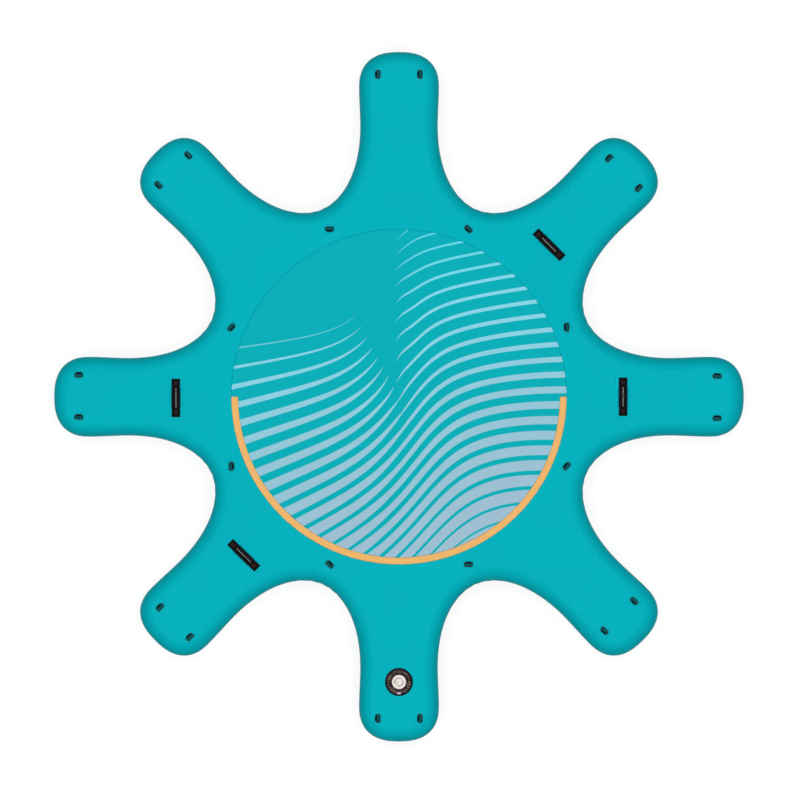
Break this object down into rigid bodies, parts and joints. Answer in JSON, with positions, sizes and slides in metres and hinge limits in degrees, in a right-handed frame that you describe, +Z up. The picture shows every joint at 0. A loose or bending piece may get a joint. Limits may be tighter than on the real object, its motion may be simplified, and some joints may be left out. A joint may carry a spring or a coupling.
{
  "type": "inflatable yoga platform",
  "caption": "Star-shaped inflatable water platform with a round foam deck pad, tie-down rings, carry handles and an air valve.",
  "frame": {"origin": "on the floor under the middle of the underside", "axes": "+Z up; +X and +Y along two of the eight arms; the air valve is on the arm that points along -Y"},
  "size_m": [2.9, 2.9, 0.1601],
  "materials": {
    "deck_pvc": "teal coated drop-stitch fabric, satin",
    "underside_pvc": "teal coated drop-stitch fabric, satin",
    "side_wall_pvc": "teal side wall strip, satin",
    "drop_threads": "polyester threads in air",
    "pad_foam": "closed-cell foam with printed waves, matt",
    "trim_foam": "closed-cell foam, matt orange",
    "valve_patch_rubber": "dark printed rubber",
    "valve_plastic": "off-white moulded plastic",
    "seal_rubber": "black rubber",
    "spring_steel": "stainless spring wire",
    "ring_plastic": "black moulded plastic",
    "handle_base_pvc": "teal welded patch",
    "handle_webbing": "black woven webbing",
    "handle_grip": "black soft sleeve"
  },
  "bodies": {
    "platform": {"top_skin": "deck_pvc", "bottom_skin": "underside_pvc", "side_wall": "side_wall_pvc", "drop_stitch_core": "drop_threads", "deck_pad": "pad_foam", "deck_pad_trim": "trim_foam", "valve_patch": "valve_patch_rubber", "valve_body": "valve_plastic", "valve_nut": "valve_plastic", "valve_spring": "spring_steel", "handle_1_base": "handle_base_pvc", "handle_1_strap": "handle_webbing", "handle_2_base": "handle_base_pvc", "handle_2_strap": "handle_webbing", "handle_3_base": "handle_base_pvc", "handle_3_strap": "handle_webbing", "handle_4_base": "handle_base_pvc", "handle_4_strap": "handle_webbing"},
    "hub_ring_1": {"hub_ring_1": "ring_plastic"},
    "hub_ring_2": {"hub_ring_2": "ring_plastic"},
    "hub_ring_3": {"hub_ring_3": "ring_plastic"},
    "hub_ring_4": {"hub_ring_4": "ring_plastic"},
    "hub_ring_5": {"hub_ring_5": "ring_plastic"},
    "hub_ring_6": {"hub_ring_6": "ring_plastic"},
    "hub_ring_7": {"hub_ring_7": "ring_plastic"},
    "hub_ring_8": {"hub_ring_8": "ring_plastic"},
    "tip_ring_1_left": {"tip_ring_1_left": "ring_plastic"},
    "tip_ring_1_right": {"tip_ring_1_right": "ring_plastic"},
    "tip_ring_2_left": {"tip_ring_2_left": "ring_plastic"},
    "tip_ring_2_right": {"tip_ring_2_right": "ring_plastic"},
    "tip_ring_3_left": {"tip_ring_3_left": "ring_plastic"},
    "tip_ring_3_right": {"tip_ring_3_right": "ring_plastic"},
    "tip_ring_4_left": {"tip_ring_4_left": "ring_plastic"},
    "tip_ring_4_right": {"tip_ring_4_right": "ring_plastic"},
    "tip_ring_5_left": {"tip_ring_5_left": "ring_plastic"},
    "tip_ring_5_right": {"tip_ring_5_right": "ring_plastic"},
    "tip_ring_6_left": {"tip_ring_6_left": "ring_plastic"},
    "tip_ring_6_right": {"tip_ring_6_right": "ring_plastic"},
    "tip_ring_7_left": {"tip_ring_7_left": "ring_plastic"},
    "tip_ring_7_right": {"tip_ring_7_right": "ring_plastic"},
    "tip_ring_8_left": {"tip_ring_8_left": "ring_plastic"},
    "tip_ring_8_right": {"tip_ring_8_right": "ring_plastic"},
    "handle_1_grip": {"handle_1_grip": "handle_grip"},
    "handle_2_grip": {"handle_2_grip": "handle_grip"},
    "handle_3_grip": {"handle_3_grip": "handle_grip"},
    "handle_4_grip": {"handle_4_grip": "handle_grip"},
    "cap_seal": {"cap_seal": "seal_rubber"},
    "valve_cap": {"valve_cap": "valve_plastic"},
    "valve_diaphragm": {"valve_diaphragm": "seal_rubber"},
    "valve_stem": {"valve_stem": "valve_plastic"}
  },
  "joints": [
    {"name": "hub_ring_1_swing", "type": "hinge", "parent": "platform", "child": "hub_ring_1", "pos_m": [0.69596, 0.2918, 0.154], "axis": [0, -1, 0], "range_deg": [0, 180]},
    {"name": "hub_ring_2_swing", "type": "hinge", "parent": "platform", "child": "hub_ring_2", "pos_m": [0.28579, 0.69845, 0.154], "axis": [0.7071, -0.7071, 0], "range_deg": [0, 180]},
    {"name": "hub_ring_3_swing", "type": "hinge", "parent": "platform", "child": "hub_ring_3", "pos_m": [-0.2918, 0.69596, 0.154], "axis": [1, 0, 0], "range_deg": [0, 180]},
    {"name": "hub_ring_4_swing", "type": "hinge", "parent": "platform", "child": "hub_ring_4", "pos_m": [-0.69845, 0.28579, 0.154], "axis": [0.7071, 0.7071, 0], "range_deg": [0, 180]},
    {"name": "hub_ring_5_swing", "type": "hinge", "parent": "platform", "child": "hub_ring_5", "pos_m": [-0.69596, -0.2918, 0.154], "axis": [0, 1, 0], "range_deg": [0, 180]},
    {"name": "hub_ring_6_swing", "type": "hinge", "parent": "platform", "child": "hub_ring_6", "pos_m": [-0.28579, -0.69845, 0.154], "axis": [-0.7071, 0.7071, 0], "range_deg": [0, 180]},
    {"name": "hub_ring_7_swing", "type": "hinge", "parent": "platform", "child": "hub_ring_7", "pos_m": [0.2918, -0.69596, 0.154], "axis": [-1, 0, 0], "range_deg": [0, 180]},
    {"name": "hub_ring_8_swing", "type": "hinge", "parent": "platform", "child": "hub_ring_8", "pos_m": [0.69845, -0.28579, 0.154], "axis": [-0.7071, -0.7071, 0], "range_deg": [0, 180]},
    {"name": "tip_ring_1_left_swing", "type": "hinge", "parent": "platform", "child": "tip_ring_1_left", "pos_m": [1.336, 0.095, 0.154], "axis": [-1, 0, 0], "range_deg": [0, 180]},
    {"name": "tip_ring_1_right_swing", "type": "hinge", "parent": "platform", "child": "tip_ring_1_right", "pos_m": [1.336, -0.082, 0.154], "axis": [-1, 0, 0], "range_deg": [0, 180]},
    {"name": "tip_ring_2_left_swing", "type": "hinge", "parent": "platform", "child": "tip_ring_2_left", "pos_m": [0.87611, 1.00763, 0.154], "axis": [-0.7071, -0.7071, 0], "range_deg": [0, 180]},
    {"name": "tip_ring_2_right_swing", "type": "hinge", "parent": "platform", "child": "tip_ring_2_right", "pos_m": [1.00126, 0.88247, 0.154], "axis": [-0.7071, -0.7071, 0], "range_deg": [0, 180]},
    {"name": "tip_ring_3_left_swing", "type": "hinge", "parent": "platform", "child": "tip_ring_3_left", "pos_m": [-0.097, 1.354, 0.154], "axis": [0, -1, 0], "range_deg": [0, 180]},
    {"name": "tip_ring_3_right_swing", "type": "hinge", "parent": "platform", "child": "tip_ring_3_right", "pos_m": [0.08, 1.354, 0.154], "axis": [0, -1, 0], "range_deg": [0, 180]},
    {"name": "tip_ring_4_left_swing", "type": "hinge", "parent": "platform", "child": "tip_ring_4_left", "pos_m": [-1.01611, 0.88318, 0.154], "axis": [0.7071, -0.7071, 0], "range_deg": [0, 180]},
    {"name": "tip_ring_4_right_swing", "type": "hinge", "parent": "platform", "child": "tip_ring_4_right", "pos_m": [-0.89096, 1.00833, 0.154], "axis": [0.7071, -0.7071, 0], "range_deg": [0, 180]},
    {"name": "tip_ring_5_left_swing", "type": "hinge", "parent": "platform", "child": "tip_ring_5_left", "pos_m": [-1.345, -0.077, 0.154], "axis": [-1, 0, 0], "range_deg": [0, 180]},
    {"name": "tip_ring_5_right_swing", "type": "hinge", "parent": "platform", "child": "tip_ring_5_right", "pos_m": [-1.345, 0.1, 0.154], "axis": [-1, 0, 0], "range_deg": [0, 180]},
    {"name": "tip_ring_6_left_swing", "type": "hinge", "parent": "platform", "child": "tip_ring_6_left", "pos_m": [-0.88459, -1.00338, 0.154], "axis": [-0.7071, -0.7071, 0], "range_deg": [0, 180]},
    {"name": "tip_ring_6_right_swing", "type": "hinge", "parent": "platform", "child": "tip_ring_6_right", "pos_m": [-1.00975, -0.87823, 0.154], "axis": [-0.7071, -0.7071, 0], "range_deg": [0, 180]},
    {"name": "tip_ring_7_left_swing", "type": "hinge", "parent": "platform", "child": "tip_ring_7_left", "pos_m": [0.08, -1.351, 0.154], "axis": [0, -1, 0], "range_deg": [0, 180]},
    {"name": "tip_ring_7_right_swing", "type": "hinge", "parent": "platform", "child": "tip_ring_7_right", "pos_m": [-0.097, -1.351, 0.154], "axis": [0, -1, 0], "range_deg": [0, 180]},
    {"name": "tip_ring_8_left_swing", "type": "hinge", "parent": "platform", "child": "tip_ring_8_left", "pos_m": [0.98217, -0.86338, 0.154], "axis": [0.7071, -0.7071, 0], "range_deg": [0, 180]},
    {"name": "tip_ring_8_right_swing", "type": "hinge", "parent": "platform", "child": "tip_ring_8_right", "pos_m": [0.85701, -0.98854, 0.154], "axis": [0.7071, -0.7071, 0], "range_deg": [0, 180]},
    {"name": "handle_1_lift", "type": "slide", "parent": "platform", "child": "handle_1_grip", "axis": [0, 0, 1], "range_m": [0, 0.012], "deforming": ["handle_1_strap"]},
    {"name": "handle_2_lift", "type": "slide", "parent": "platform", "child": "handle_2_grip", "axis": [0, 0, 1], "range_m": [0, 0.012], "deforming": ["handle_2_strap"]},
    {"name": "handle_3_lift", "type": "slide", "parent": "platform", "child": "handle_3_grip", "axis": [0, 0, 1], "range_m": [0, 0.012], "deforming": ["handle_3_strap"]},
    {"name": "handle_4_lift", "type": "slide", "parent": "platform", "child": "handle_4_grip", "axis": [0, 0, 1], "range_m": [0, 0.012], "deforming": ["handle_4_strap"]},
    {"name": "cap_lift", "type": "slide", "parent": "platform", "child": "cap_seal", "axis": [0, 0, 1], "range_m": [0, 0.025]},
    {"name": "cap_turn", "type": "hinge", "parent": "cap_seal", "child": "valve_cap", "pos_m": [0, -1.198, 0.15], "axis": [0, 0, 1], "range_deg": [0, 90]},
    {"name": "stem_press", "type": "slide", "parent": "platform", "child": "valve_diaphragm", "axis": [0, 0, 1], "range_m": [-0.0055, 0], "stiffness_N_per_m": 500, "springref_m": 0.004, "deforming": ["valve_spring"]},
    {"name": "stem_turn", "type": "hinge", "parent": "valve_diaphragm", "child": "valve_stem", "pos_m": [0, -1.198, 0.15], "axis": [0, 0, 1], "range_deg": [0, 90]}
  ]
}
